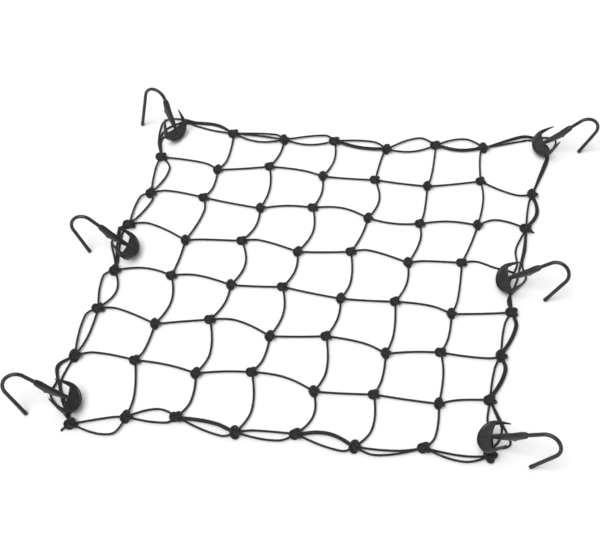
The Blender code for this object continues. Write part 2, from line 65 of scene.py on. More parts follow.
# ---- shared surface tools ----
@dataclass
class Surface:
    """A grid of points that makes a tube-like skin: rows run along it, columns run round it.

    Args:
        points: Array of rows by columns by three, in millimetres.
        along: Distance of each row along the surface in millimetres, for the pattern.
        closed: Whether the last row joins the first, as in a loop of cord.
    """

    points: np.ndarray
    along: np.ndarray
    closed: bool = False

    def polygons(self, first: int) -> tuple[list[np.ndarray], list[np.ndarray]]:
        """Corner numbers and pattern places of the faces, with a cap at each open end.

        Args:
            first: Number of this surface's first point in the whole mesh.

        Returns:
            The faces' corners and the pattern place of each corner, as lists of arrays.
        """
        rows, columns = self.points.shape[:2]
        row = np.arange(rows if self.closed else rows - 1)[:, None]
        column = np.arange(columns)[None, :]
        along = np.append(self.along, self.along[-1] * rows / (rows - 1))
        quads, places = [], []
        for next_row, next_column in ((0, 0), (1, 0), (1, 1), (0, 1)):
            quads.append((row + next_row) % rows * columns + (column + next_column) % columns)
            spot = np.broadcast_arrays(along[row + next_row], (column + next_column) / columns)
            places.append(np.stack(spot, -1))
        quads = first + np.stack(quads, -1).reshape(-1, 4)
        places = np.stack(places, axis=2).reshape(-1, 4, 2)
        faces, maps = [quads], [places]
        if not self.closed:
            ring = np.arange(columns)
            flat = np.stack([np.zeros(columns), ring / columns], -1)
            faces += [first + ring[None, :], first + (rows - 1) * columns + ring[None, ::-1]]
            maps += [flat[None], flat[None, ::-1]]
        return faces, maps


def mesh_of(name: str, surfaces: list[Surface]) -> bpy.types.Mesh:
    """One mesh in metres from several closed surfaces, with a pattern map along and round each.

    Args:
        name: Name of the mesh.
        surfaces: Skins in millimetres.

    Returns:
        The mesh, shaded smooth.
    """
    corners, sizes, places, first = [], [], [], 0
    for surface in surfaces:
        faces, maps = surface.polygons(first)
        for face, spot in zip(faces, maps):
            corners.append(face.reshape(-1))
            sizes.append(np.full(len(face), face.shape[1]))
            places.append(spot.reshape(-1, 2))
        first += surface.points.shape[0] * surface.points.shape[1]
    points = np.concatenate([surface.points.reshape(-1, 3) for surface in surfaces]) * MM
    corners, sizes, places = np.concatenate(corners), np.concatenate(sizes), np.concatenate(places)
    mesh = bpy.data.meshes.new(name)
    mesh.vertices.add(len(points))
    mesh.vertices.foreach_set("co", points.reshape(-1))
    mesh.loops.add(len(corners))
    mesh.loops.foreach_set("vertex_index", corners.astype(np.int32))
    mesh.polygons.add(len(sizes))
    mesh.polygons.foreach_set("loop_start", (np.cumsum(sizes) - sizes).astype(np.int32))
    mesh.update(calc_edges=True)
    mesh.uv_layers.new(name="along_cord").data.foreach_set("uv", places.reshape(-1))
    mesh.validate()
    mesh.shade_smooth()
    return mesh


def path_lengths(path: np.ndarray) -> np.ndarray:
    """Distance of each point along a path, from zero."""
    return np.append(0.0, np.cumsum(np.linalg.norm(np.diff(path, axis=0), axis=1)))


def tube(path: np.ndarray, radius: np.ndarray | float, sides: int, closed: bool = False,
         reference: np.ndarray = UP) -> Surface:
    """Round skin carried along a path.

    Each ring lies square to the path: centre plus radius times (cosine of the angle times the
    sideways direction plus sine of the angle times the direction over the path).

    Args:
        path: Points of the middle line.
        radius: One radius, or one for each point.
        sides: Points round each ring.
        closed: Whether the path is a loop.
        reference: Direction that the path never runs along, which fixes the rings' turn.

    Returns:
        The skin.
    """
    if closed:
        along = np.roll(path, -1, axis=0) - np.roll(path, 1, axis=0)
    else:
        along = np.gradient(path, axis=0)
    along /= np.linalg.norm(along, axis=1)[:, None]
    aside = np.cross(along, reference)
    aside /= np.linalg.norm(aside, axis=1)[:, None]
    over = np.cross(aside, along)
    angle = 2 * np.pi * np.arange(sides) / sides
    cosine, sine = np.cos(angle)[None, :, None], np.sin(angle)[None, :, None]
    ring = cosine * aside[:, None, :] + sine * over[:, None, :]
    radii = np.broadcast_to(np.asarray(radius, float), (len(path),))
    return Surface(path[:, None, :] + radii[:, None, None] * ring, path_lengths(path), closed)


def smooth_path(points: np.ndarray, steps: int) -> np.ndarray:
    """Catmull-Rom curve: each stretch is a cubic that leaves and meets its ends smoothly.

    Args:
        points: Places that the curve passes.
        steps: Steps on each stretch.

    Returns:
        The curve's points.
    """
    points = np.asarray(points, float)
    ends = np.vstack([2 * points[0] - points[1], points, 2 * points[-1] - points[-2]])
    a, b, c, d = (ends[k : len(ends) - 3 + k, None, :] for k in range(4))
    t = (np.arange(steps) / steps)[None, :, None]
    curve = b + ((c - a) * t + (2 * a - 5 * b + 4 * c - d) * t**2 + (3 * b - 3 * c + d - a) * t**3) / 2
    return np.vstack([curve.reshape(-1, 3), points[-1]])


def between(first: object, last: object, part: np.ndarray) -> np.ndarray:
    """Values a part of the way on: the first plus the part times the difference."""
    return np.array(first) + np.multiply.outer(part, np.subtract(last, first))


def turn_about(axis: int, angle: float) -> np.ndarray:
    """Matrix that turns points about an axis, by the angle's cosine and sine in the other two.

    Args:
        axis: 0, 1 or 2 for X, Y or Z.
        angle: Angle in radians.

    Returns:
        The matrix.
    """
    first, second = (axis + 1) % 3, (axis + 2) % 3
    matrix = np.eye(3)
    matrix[first, first] = matrix[second, second] = math.cos(angle)
    matrix[first, second], matrix[second, first] = -math.sin(angle), math.sin(angle)
    return matrix


def eased(path: np.ndarray, spacing: float, rounds: int) -> np.ndarray:
    """Path with its corners eased: evenly spaced points, each moved halfway to its neighbours' mean.

    Args:
        path: Points of the path.
        spacing: Distance between the new points.
        rounds: How often they are moved.

    Returns:
        The new points, from the same start to the same end.
    """
    length = path_lengths(path)
    even = np.linspace(0.0, length[-1], int(length[-1] / spacing) + 2)
    path = np.column_stack([np.interp(even, length, path[:, axis]) for axis in range(3)])
    for _ in range(rounds):
        path[1:-1] = (path[:-2] + 2 * path[1:-1] + path[2:]) / 4
    return path


def linked(name: str, data: bpy.types.ID) -> bpy.types.Object:
    """Put a new object in the scene.

    Args:
        name: Name of the object.
        data: Its mesh, light or camera.

    Returns:
        The object.
    """
    made = bpy.data.objects.new(name, data)
    bpy.context.scene.collection.objects.link(made)
    return made


def show(name: str, mesh: bpy.types.Mesh, finish: bpy.types.Material, slot: str,
         *nodes: str) -> bpy.types.Object:
    """Put a finished piece in the scene in place of the frame's nodes.

    Args:
        name: Name of the piece.
        mesh: Its mesh, already in place.
        finish: Its material.
        slot: The record's material slot; not used.
        nodes: Frame nodes that it stands for.

    Returns:
        The new object.
    """
    piece = linked(name, mesh)
    mesh.materials.clear()
    mesh.materials.append(finish)
    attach(piece, "root")
    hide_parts(*nodes)
    log.info("%s: %d faces, stands for %s", name, len(mesh.polygons), ", ".join(nodes))
    return piece


# ---- finishes ----
class Nodes:
    """Small helper that adds shader nodes to one material and links them."""

    def __init__(self, name: str) -> None:
        """Start a material with its principled shader.

        Args:
            name: Name of the material.
        """
        self.material = bpy.data.materials.new(name)
        self.material.use_nodes = True
        self.tree = self.material.node_tree
        self.shader = self.tree.nodes["Principled BSDF"]

    def add(self, kind: str, settings: dict | None = None, **inputs: object) -> bpy.types.Node:
        """Add a node.

        Args:
            kind: Blender's name of the node type.
            settings: Properties of the node.
            inputs: Values or sockets for its inputs, by name with _ for a space, or in0, in1 by number.

        Returns:
            The node.
        """
        node = self.tree.nodes.new(kind)
        for key, value in (settings or {}).items():
            setattr(node, key, value)
        for key, value in inputs.items():
            self.feed(node.inputs[int(key[2:]) if key[:2] == "in" else key.replace("_", " ")], value)
        return node

    def feed(self, socket: bpy.types.NodeSocket, value: object) -> None:
        """Give a socket its value, or link it to the socket that has it.

        Args:
            socket: The socket.
            value: A value or another socket.
        """
        if isinstance(value, bpy.types.NodeSocket):
            self.tree.links.new(value, socket)
        else:
            socket.default_value = value

    def math(self, operation: str, first: object, second: object = 0.0) -> bpy.types.NodeSocket:
        """Result of one arithmetic step on values or sockets."""
        return self.add("ShaderNodeMath", {"operation": operation}, in0=first, in1=second).outputs[0]

    def noise(self, scale: float, detail: float) -> bpy.types.NodeSocket:
        """Noise on the object's own coordinates."""
        place = self.add("ShaderNodeTexCoord").outputs["Object"]
        return self.add("ShaderNodeTexNoise", Vector=place, Scale=scale, Detail=detail).outputs[0]

    def bump(self, height: bpy.types.NodeSocket, strength: float, depth: float) -> None:
        """Raise the surface by a height."""
        raised = self.add("ShaderNodeBump", Strength=strength, Distance=depth, Height=height)
        self.set("Normal", raised.outputs[0])

    def ramp(self, factor: bpy.types.NodeSocket, stops: tuple) -> bpy.types.NodeSocket:
        """Colour ramp through two stops.

        Args:
            factor: What the ramp reads.
            stops: Place and colour of each stop.

        Returns:
            The colour's socket.
        """
        node = self.add("ShaderNodeValToRGB", in0=factor)
        for element, (place, colour) in zip(node.color_ramp.elements, stops):
            element.position, element.color = place, (*colour, 1.0)
        return node.outputs[0]

    def set(self, name: str, value: object) -> None:
        """Set or link one of the shader's own inputs."""
        self.feed(self.shader.inputs[name], value)


@dataclass(frozen=True)
class BraidFinish:
    """Black braided elastic cord: crossing yarns with small lighter flecks, a painted highlight on the yarns'
    crowns and painted shade in their hollows.

    Args:
        yarns: Yarns round the cord in each direction.
        pitch: Length of one full crossing along the cord in millimetres.
        dark: Painted shade colour in the braid's hollows.
        light: Painted highlight colour on the crowns of the yarns.
        crossing: Added to the yarns' height before the flecks multiply it.
        roughness: Roughness of the yarn.
        depth: Depth of the braid in metres.
    """

    yarns: int = 4
    pitch: float = 2.2
    dark: Colour = (0.003, 0.003, 0.0033)
    light: Colour = (0.026, 0.026, 0.027)
    crossing: float = 0.6
    roughness: float = 0.62
    depth: float = 0.00022

    def material(self, name: str) -> bpy.types.Material:
        """The braid: two sine waves run round the cord in opposite ways, and the higher one shows; its height
        also sets the colour, with painted shade in the hollows and a painted highlight on the crowns.

        Args:
            name: Name of the material.

        Returns:
            The material.
        """
        nodes = Nodes(name)
        place = nodes.add("ShaderNodeUVMap", {"uv_map": "along_cord"}).outputs[0]
        split = nodes.add("ShaderNodeSeparateXYZ", in0=place)
        along = nodes.math("MULTIPLY", split.outputs[0], 2 * math.pi / self.pitch)
        around = nodes.math("MULTIPLY", split.outputs[1], 2 * math.pi * self.yarns)
        right = nodes.math("SINE", nodes.math("ADD", around, along))
        left = nodes.math("SINE", nodes.math("SUBTRACT", around, along))
        crown = nodes.math("MAXIMUM", right, left)
        fleck = nodes.noise(scale=900.0, detail=2.0)
        # Colour from the braid's height times the flecks: painted shade in the hollows, painted highlight on
        # the crowns, random flecks
        shade_and_flecks = nodes.math("MULTIPLY", nodes.math("ADD", crown, self.crossing), fleck)
        nodes.set("Base Color", nodes.ramp(shade_and_flecks, ((0.25, self.dark), (0.85, self.light))))
        nodes.set("Roughness", self.roughness)
        nodes.set("Specular IOR Level", 0.3)
        nodes.set("Sheen Weight", 0.08)
        nodes.set("Sheen Roughness", 0.5)
        nodes.bump(crown, strength=0.8, depth=self.depth)
        return nodes.material


@dataclass(frozen=True)
class PlasticFinish:
    """Satin black moulded plastic with a fine grain, faint flow marks and scuffs.

    Args:
        base: Main colour.
        scuffed: Colour of rubbed places.
        roughness: Roughness where the surface is smooth.
        spread: How much lower and higher the roughness gets.
        grain: Scale of the grain's noise on metres.
        scuff_size: How many times larger than the grain the scuffs are.
        depth: Depth of the grain in metres.
    """

    base: Colour = (0.006, 0.006, 0.0063)
    scuffed: Colour = (0.018, 0.018, 0.0187)
    roughness: float = 0.34
    spread: tuple[float, float] = (0.08, 0.12)
    grain: float = 1600.0
    scuff_size: float = 12.0
    depth: float = 0.00004

    def material(self, name: str) -> bpy.types.Material:
        """Grain and scuffs from two noises of different size on the object's own coordinates.

        Args:
            name: Name of the material.

        Returns:
            The material.
        """
        nodes = Nodes(name)
        scuffs = nodes.noise(scale=self.grain / self.scuff_size, detail=4.0)
        nodes.set("Base Color", nodes.ramp(scuffs, ((0.45, self.base), (0.8, self.scuffed))))
        lower, higher = self.spread
        rough = nodes.add("ShaderNodeMapRange", Value=scuffs, To_Min=self.roughness - lower,
                          To_Max=self.roughness + higher)
        nodes.set("Roughness", rough.outputs[0])
        nodes.bump(nodes.noise(scale=self.grain, detail=3.0), strength=0.5, depth=self.depth)
        return nodes.material


# ---- net ----
class KnotForm(Enum):
    """The two ways that a knot lies, round with a lower lump or flatter and drawn out sideways.

    Each holds the stretch to the right, away and up, and the turn in degrees.
    """

    ROUND = (1.0, 1.14, 1.06, 10.0)
    FLAT = (1.1, 0.98, 1.0, 90.0)

    @property
    def stretch(self) -> np.ndarray:
        """Stretch to the right, away and up."""
        return np.array(self.value[:3])

    @property
    def turn(self) -> float:
        """Turn from above in radians."""
        return math.radians(self.value[3])


@dataclass
class Net:
    """The net's cords and knots, from a slanted grid whose knots are pulled off it a little.

    Args:
        cord: Diameter of the cord.
        rest: Height of a cord's middle where it lies on the surface.
        span_lift: How much higher it is held halfway between two knots.
        span_steps: Rings along a cord between two knots.
        span_end: Part of the length at each end that stays inside the knot.
        route_spacing: Distance between the rings of a cord under a hook.
        route_easing: How often its corners are eased.
        knot_width: Width of a knot.
        knot_height: Height of a knot.
        knot_middle: Height where the cords enter a knot.
        knot_cord: Radius of the cord in a knot, over its diameter elsewhere.
        knot_foot: Height of a knot's underside.
        knot_loops: A knot's loops: size, extra height, turn in radians and steps.
        loop_reach: Mean distance of a loop from the middle, and its swing.
        loop_rise: Fixed part of a loop's height, and the part that goes with its size.
        core_reach: Radius of a knot's full core.
        border_bulk: How much larger the knots on the border are.
        bulky: Knots that are larger still.
        tails: Knots with a cord end, and where it stops from the knot's middle.
        layer_lift: How much higher each layer of cords lies than the one before.
        columns: Knots in a row.
        rows: Names of the rows, from the far border to the near one.
        middle: Middle of the grid.
        step_right: From one column to the next.
        step_nearer: From one row to the next.
        checker_inner: Shift of every second inner knot, and against it of the others.
        checker_border: The same shift on the border.
        no_knot: Places of the grid where a hook takes the cords.
        pulled: How far single knots are pulled off the grid.
        row_bows: Bows of each row's cords, from left to right.
        column_bows: Bows of the cords between two rows, from the second column on.
        border_bows: Bows of the two border cords between two knots.
        third_cords: Spans with a third cord: its bow, and how far it lies to the left.
    """

    cord: float = 2.1
    rest: float = 1.15
    span_lift: float = 0.8
    span_steps: int = 25
    span_end: float = 0.03
    route_spacing: float = 1.9
    route_easing: int = 5
    knot_width: float = 11.6
    knot_height: float = 6.4
    knot_middle: float = 2.8
    knot_cord: float = 0.58
    knot_foot: float = 0.05
    knot_loops: tuple = ((1.0, 0.0, 0.0, 56), (0.58, 1.15, 0.9, 40))
    loop_reach: tuple[float, float] = (0.7, 0.3)
    loop_rise: tuple[float, float] = (0.4, 0.6)
    core_reach: float = 4.1
    border_bulk: float = 1.15
    bulky: dict[str, float] = field(default_factory=lambda: {"Z7": 1.25, "C0": 1.2, "F0": 1.2, "B7": 1.2})
    tails: dict[str, Place] = field(default_factory=lambda: {"Z0": (-7.5, -7.5), "B7": (8.5, -3.0)})
    layer_lift: float = 0.15
    columns: int = 8
    rows: str = "TABCDEFZ"
    middle: Place = (3.6, 7.0)
    step_right: Place = (56.1, 3.1)
    step_nearer: Place = (-3.0, -55.5)
    checker_inner: Place = (-1.5, 3.6)
    checker_border: Place = (0.0, 1.2)
    no_knot: tuple[str, ...] = ("T0", "T7", "C7")
    pulled: dict[str, Place] = field(default_factory=lambda: {
        "T1": (2, -7), "T2": (3, -7), "T3": (2, -4), "T4": (4, -7), "T5": (0, 4), "T6": (-4, 9),
        "A0": (-8, 1), "A1": (-1, -5), "A4": (3, -5), "A6": (2, 8),
        "B0": (-2, 4), "B2": (3, 0), "B3": (4, 1), "B4": (4, 1), "B5": (5, -7), "B6": (5, 6), "B7": (0, 3),
        "C0": (-9, 9), "C1": (-4, 0),
        "D0": (-3, 4), "D2": (2, 3), "D5": (0, -4), "D6": (-3, -5),
        "E0": (-2, 7), "E2": (-2, 5), "E5": (0, -6), "E6": (-2, -5), "E7": (-3, 3),
        "F0": (-4, 5), "F1": (-1, 3), "F2": (0, 3), "F3": (-2, 4), "F4": (0, -3), "F5": (2, -6),
        "F6": (3, -1), "F7": (-6, 4),
        "Z0": (19, -16), "Z1": (10, 0), "Z2": (-1, 3), "Z3": (-1, -4), "Z4": (-3, -1), "Z5": (-5, -5),
        "Z7": (2.5, 2),
    })
    row_bows: dict[str, tuple[Bow, ...]] = field(default_factory=lambda: {
        "A": ((6, 0.7), (0, 0.5), (4, 0.6), (0, 0.5), (0, 0.5), (0, 0.5), (-6, 0.7)),
        "B": ((6, 0.3), (0, 0.5), (4, 0.5), (8, 0.5), (-3, 0.5), (5, 0.5), (10, 0.4)),
        "C": ((9, 0.3), (2, 0.3), (6, 0.3), (0, 0.5), (7, 0.3), (3, 0.3)),
        "D": ((7, 0.5), (6, 0.4), (0, 0.5), (0, 0.5), (0, 0.5), (5, 0.6), (0, 0.5)),
        "E": ((6, 0.3), (1, 0.5), (8, 0.4), (0, 0.5), (5, 0.6), (2, 0.5), (-3, 0.8)),
        "F": ((6, 0.3), (3, 0.5), (2, 0.5), (6, 0.5), (0, 0.5), (0, 0.5), (3, 0.4)),
    })
    column_bows: dict[str, tuple[Bow, ...]] = field(default_factory=lambda: {
        "TA": ((5, 0.7), (3, 0.5), (6, 0.5), (-2, 0.2), (2, 0.7), (-3, 0.2)),
        "AB": ((4, 0.6), (5, 0.5), (4, 0.5), (8, 0.5), (2, 0.7), (4, 0.4)),
        "BC": ((6, 0.3), (5, 0.5), (8, 0.5), (2, 0.5), (5, 0.4), (1, 0.5)),
        "CD": ((1, 0.5), (9, 0.5), (5, 0.5), (6, 0.6), (5, 0.5), (3, 0.7)),
        "DE": ((8, 0.5), (4, 0.5), (7, 0.5), (4, 0.5), (4, 0.6), (3, 0.6)),
        "EF": ((3, 0.7), (8, 0.6), (4, 0.6), (7, 0.6), (3, 0.6), (3, 0.4)),
        "FZ": ((4, 0.6), (6, 0.6), (9, 0.6), (8, 0.5), (9, 0.6), (6, 0.7)),
    })
    border_bows: dict[str, tuple[Bow, Bow]] = field(default_factory=lambda: {
        "T1 T2": ((-7, 0.5), (7, 0.8)), "T2 T3": ((-6, 0.5), (9, 0.8)),
        "T3 T4": ((-4, 0.5), (9, 0.7)), "T4 T5": ((-6, 0.5), (14, 0.7)),
        "T5 T6": ((-6, 0.5), (13, 0.6)), "A0 B0": ((12, 0.3), (-3, 0.3)),
        "B0 C0": ((6, 0.2), (-8, 0.2)), "D0 E0": ((10, 0.5), (-9, 0.2)),
        "E0 F0": ((3, 0.6), (-9, 0.2)), "A7 B7": ((-2, 0.3), (9, 0.5)),
        "D7 E7": ((-4, 0.3), (8, 0.3)), "E7 F7": ((-3, 0.3), (8, 0.3)),
        "Z0 Z1": ((2, 0.7), (-16, 0.7)), "Z1 Z2": ((9, 0.6), (-6, 0.8)),
        "Z2 Z3": ((5, 0.6), (-7, 0.8)), "Z3 Z4": ((3, 0.3), (-7, 0.7)),
        "Z4 Z5": ((9, 0.5), (-7, 0.8)), "Z5 Z6": ((-3, 0.6), (-8, 0.3)),
        "Z6 Z7": ((-3, 0.6), (-9, 0.6)),
    })
    third_cords: dict[str, tuple[Bow, float]] = field(default_factory=lambda: {
        "T1 T2": ((2, 0.5), 0), "T3 T4": ((-4, 0.5), 1.9), "T5 T6": ((-6, 0.5), 1.9),
        "A7 B7": ((9, 0.5), -1.9), "D7 E7": ((8, 0.3), -1.9), "E7 F7": ((8, 0.3), -1.9),
        "Z2 Z3": ((5, 0.6), -1.9), "Z4 Z5": ((9, 0.5), -1.9),
    })

    def knot_place(self, name: str) -> np.ndarray:
        """Middle of a knot from above: the even grid, a checkered shift and a pull.

        Args:
            name: Name of the knot, its row and its column.

        Returns:
            The place.
        """
        row, column = self.rows.index(name[0]), int(name[1])
        sign = -1 if self.is_even(name) else 1
        checker = np.array(self.checker_border if self.on_border(name) else self.checker_inner)
        grid = (np.array(self.middle) + np.array(self.step_right) * (column - (self.columns - 1) / 2)
                + np.array(self.step_nearer) * (row - (len(self.rows) - 1) / 2))
        return grid + sign * checker + np.array(self.pulled.get(name, (0, 0)))

    def is_even(self, name: str) -> bool:
        """Whether a knot's row and column add up to an even number."""
        return (self.rows.index(name[0]) + int(name[1])) % 2 == 0

    def on_border(self, name: str) -> bool:
        """Whether a knot lies on the net's border."""
        return name[0] in (self.rows[0], self.rows[-1]) or int(name[1]) in (0, self.columns - 1)

    def knot_names(self) -> list[str]:
        """All knots, row by row."""
        names = [row + str(column) for row in self.rows for column in range(self.columns)]
        return [name for name in names if name not in self.no_knot]

    def strand(self, start: str, end: str, bow: Bow, layer: int, aside: float = 0.0) -> Surface:
        """Cord between two knots.

        The line between the knots is moved sideways by the bow times a quarter sine up to the
        bow's peak and a quarter cosine after it. Its height over that of its middle grows as the
        square of the distance from there.

        Args:
            start: Name of the first knot.
            end: Name of the second knot.
            bow: How it bows to the left.
            layer: Layer of the cord, from the lowest.
            aside: How far the whole cord lies to the left.

        Returns:
            The cord's skin.
        """
        a, b = self.knot_place(start), self.knot_place(end)
        left = np.array((a[1] - b[1], b[0] - a[0])) / np.linalg.norm(b - a)
        a, b = a + aside * left, b + aside * left
        width, peak = bow
        t = np.linspace(self.span_end, 1 - self.span_end, self.span_steps)
        before, after = np.sin(np.pi / 2 * t / peak), np.cos(np.pi / 2 * (t - peak) / (1 - peak))
        plan = a + t[:, None] * (b - a) + left * (width * np.where(t < peak, before, after))[:, None]
        low = self.rest + self.span_lift
        dip = (self.knot_middle - low) * np.abs(2 * t - 1) ** 2
        return self.round_cord(np.column_stack([plan, low + layer * self.layer_lift + dip]))

    def round_cord(self, path: np.ndarray) -> Surface:
        """The cord's skin along a path."""
        return tube(path, self.cord / 2, sides=10)

    def strands(self) -> list[Surface]:
        """Every cord between two knots, apart from those that run under a hook.

        Returns:
            The skins of the rows, the columns, the border pairs and the third cords.
        """
        cords = []
        for row, bows in self.row_bows.items():
            for column, bow in enumerate(bows):
                cords.append(self.strand(f"{row}{column}", f"{row}{column + 1}", bow, 0))
        for (upper, lower), bows in self.column_bows.items():
            for column, bow in enumerate(bows, start=1):
                cords.append(self.strand(f"{upper}{column}", f"{lower}{column}", bow, 1))
        for span, bows in self.border_bows.items():
            for layer, bow in enumerate(bows, start=2):
                cords.append(self.strand(*span.split(), bow, layer))
        for span, (bow, aside) in self.third_cords.items():
            cords.append(self.strand(*span.split(), bow, 4, aside))
        return cords

    def routed(self, start: str, places: list[Place], end: str | None, height: float) -> Surface:
        """Cord through places on the surface, between two knots or from a knot to the last place.

        Args:
            start: Name of the knot where it starts.
            places: Places from above.
            end: Name of the knot where it ends, if any.
            height: Height of its middle over the surface.

        Returns:
            The cord's skin.
        """
        route = [(*self.knot_place(start), self.knot_middle)]
        route += [(*place, height) for place in places]
        if end:
            route.append((*self.knot_place(end), self.knot_middle))
        curve = smooth_path(np.array(route, float), steps=8)
        return self.round_cord(eased(curve, self.route_spacing, self.route_easing))

    def knot(self, name: str, number: int) -> list[Surface]:
        """A pulled-tight knot: a large and a small loop of cord round a full core, and any tail.

        Each loop is the overhand knot's curve. It goes round twice while its distance from the
        middle follows the mean reach plus the swing times the cosine of three half turns, and its
        height follows minus the sine of them. It is then stretched to the knot's form.

        Args:
            name: Name of the knot.
            number: Its place in the count, which gives each knot a slightly different turn.

        Returns:
            The skins of the loops, the core and the tail.
        """
        form = KnotForm.ROUND if self.is_even(name) else KnotForm.FLAT
        bulk = self.bulky.get(name, self.border_bulk if self.on_border(name) else 1.0)
        thick = self.cord * self.knot_cord
        middle = np.append(self.knot_place(name), 0.0)
        swing_size, swing_rate = 0.25, 1.7
        own_turn = swing_size * math.sin(swing_rate * number)
        made = []
        for share, lift, turn, steps in self.knot_loops:
            t = 2 * np.pi * np.arange(steps) / steps
            mean, swing = self.loop_reach
            distance = bulk * share * (self.knot_width / 2 - thick) * (mean + swing * np.cos(3 * t))
            angle = 2 * t + form.turn + own_turn + turn
            fixed, with_size = self.loop_rise
            rise = (fixed + with_size * share) * (self.knot_height / 2 - thick)
            x, y, z = distance * np.cos(angle), distance * np.sin(angle), -rise * np.sin(3 * t)
            foot = self.knot_foot + thick + rise * form.stretch[2] + lift
            curve = np.column_stack([x, y, z]) * form.stretch + (0.0, 0.0, foot)
            made.append(tube(curve + middle, thick, sides=8, closed=True))
        made.append(self.knot_core(middle, bulk))
        if name in self.tails:
            made.append(self.tail(middle, self.tails[name]))
        return made

    def knot_core(self, middle: np.ndarray, bulk: float) -> Surface:
        """Full core of a knot: a ball swept from its foot to its top.

        Its radius is the core's reach times the sine of the polar angle, and its height grows as
        one minus the cosine.

        Args:
            middle: Middle of the knot on the surface.
            bulk: How much larger than usual the knot is.

        Returns:
            The core's skin.
        """
        pole, foot, inset = 0.05, 0.3, 0.5
        polar = np.linspace(pole, np.pi - pole, 9)
        height = foot + (self.knot_height / 2 - inset) * (1 - np.cos(polar))
        line = np.column_stack([0 * polar, 0 * polar, height])
        radius = bulk * self.core_reach * np.sin(polar)
        return tube(line + middle, radius, sides=12, reference=SIDEWAYS)

    def tail(self, middle: np.ndarray, reach: Place) -> Surface:
        """Cord end that leaves a knot at its middle height and lies down on the surface.

        Args:
            middle: Middle of the knot on the surface.
            reach: Where the cord end stops, from the knot's middle.

        Returns:
            The cord's skin.
        """
        reach = np.append(reach, 0.0)
        held, laid = np.array((0, 0, self.knot_middle)), np.array((0, 0, self.rest))
        leave, down = 0.55, 0.85
        route = middle + np.array([held, leave * reach + held, down * reach + laid, reach + laid])
        return self.round_cord(smooth_path(route, steps=4))

    def build(self, hook_cords: list[Surface], finish: bpy.types.Material) -> bpy.types.Object:
        """Make the whole net as one piece.

        Args:
            hook_cords: Skins of the cords that run under the hooks.
            finish: Material of the cord.

        Returns:
            The net.
        """
        surfaces = self.strands() + hook_cords
        for number, name in enumerate(self.knot_names()):
            surfaces += self.knot(name, number)
        for surface in surfaces:
            surface.points = surface.points + SHIFT
        net = show("net_cords", mesh_of("net_cords", surfaces), finish, "elastic_cord", "net")
        return net


# ---- cords at the hooks ----
@dataclass(frozen=True)
class CordRun:
    """Where the three border cords run under a hook, seen from above.

    Each place is that of the cord next to the crown, and the others lie steps away from it.

    Args:
        start: Knot before the hook.
        end: Knot after it.
        approach: Stations up to where the cords pass the far horn.
        under: Station beneath the shank's near side.
        corner: Where the third cord turns at the near horn's tip.
        join: Where all three meet again.
        third_beside: Distance between the second and the third cord.
        join_step: Step at the place where they meet.
    """

    start: str
    end: str
    approach: tuple[Station, ...]
    under: Station
    corner: Place
    join: Place
    third_beside: float = 1.8
    join_step: Place = (-1.3, -0.4)

    def beside(self, place: Place, step: Place, number: int) -> np.ndarray:
        """Place of one of the three cords: the second is a step away and the third lies beside it."""
        step = np.array(step, float)
        return place + min(number, 1) * step + (number == 2) * self.third_beside * step / np.linalg.norm(step)

    def cords(self, net: Net) -> list[Surface]:
        """Skins of the three cords.

        Args:
            net: The net whose knots they run between.

        Returns:
            One skin for each cord.
        """
        made = []
        first_layer, layer_step = 2, 2
        for number in range(3):
            places = [self.beside(*station, number) for station in self.approach]
            places.append(self.beside(*self.under, number) if number < 2 else self.corner)
            places.append(np.add(self.join, np.multiply(number, self.join_step)))
            height = net.rest + (first_layer + layer_step * number) * net.layer_lift
            made.append(net.routed(self.start, places, self.end, height))
        return made


# ---- hooks ----
class Wall(NamedTuple):
    """Upright section of the crown's wall or of a horn.

    Args:
        top: Height of its top.
        foot: Height of its foot.
        thickness: Its thickness.
    """

    top: float
    foot: float
    thickness: float


